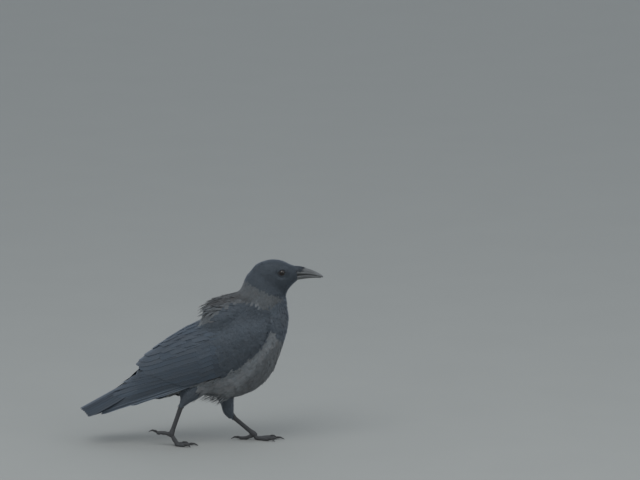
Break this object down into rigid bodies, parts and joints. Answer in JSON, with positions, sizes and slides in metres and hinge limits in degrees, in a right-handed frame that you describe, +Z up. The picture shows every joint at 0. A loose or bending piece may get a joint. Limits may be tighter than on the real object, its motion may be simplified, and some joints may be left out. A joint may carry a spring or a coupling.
{
  "type": "life-size walking hooded crow model",
  "caption": "Life-size crow caught in mid-stride: black hood, wings and tail, dusky grey body, stout bill and folded wings; the far scaled foot lies flat on the ground and the near one is up on its front toes.",
  "frame": {"origin": "on the ground, below the middle of the model's box", "axes": "+X forward, the way the bird walks and looks; +Y to the bird's left; +Z up"},
  "size_m": [0.4112, 0.1148, 0.318],
  "materials": {
    "hood_black": "black head and bib feathers with a faint blue sheen",
    "dusky_grey": "matte dusky grey body feathers",
    "flight_black": "black wing and tail feathers with a satin blue-violet sheen",
    "thigh_black": "matte black thigh feathers",
    "bill_horn": "grey-black horn, satin gloss",
    "eye_gloss": "wet dark brown eye",
    "leg_scale": "black scaled skin, slightly glossy",
    "claw_horn": "black horn"
  },
  "bodies": {
    "root": {"bill_lower": "bill_horn", "bill_upper": "bill_horn", "claw_hallux_left": "claw_horn", "claw_hallux_right": "claw_horn", "claw_inner_left": "claw_horn", "claw_inner_right": "claw_horn", "claw_middle_left": "claw_horn", "claw_middle_right": "claw_horn", "claw_outer_left": "claw_horn", "claw_outer_right": "claw_horn", "eye_left": "eye_gloss", "eye_right": "eye_gloss", "hallux_left": "leg_scale", "hallux_right": "leg_scale", "head": "hood_black", "mantle": "dusky_grey", "neck": "dusky_grey", "tail": "flight_black", "tarsus_left": "leg_scale", "tarsus_right": "leg_scale", "thigh_left": "thigh_black", "thigh_right": "thigh_black", "toe_inner_left": "leg_scale", "toe_inner_right": "leg_scale", "toe_middle_left": "leg_scale", "toe_middle_right": "leg_scale", "toe_outer_left": "leg_scale", "toe_outer_right": "leg_scale", "trunk": "dusky_grey", "wing_coverts_left": "flight_black", "wing_coverts_right": "flight_black", "wing_primaries_left": "flight_black", "wing_primaries_right": "flight_black", "wing_secondaries_left": "flight_black", "wing_secondaries_right": "flight_black"}
  },
  "joints": []
}
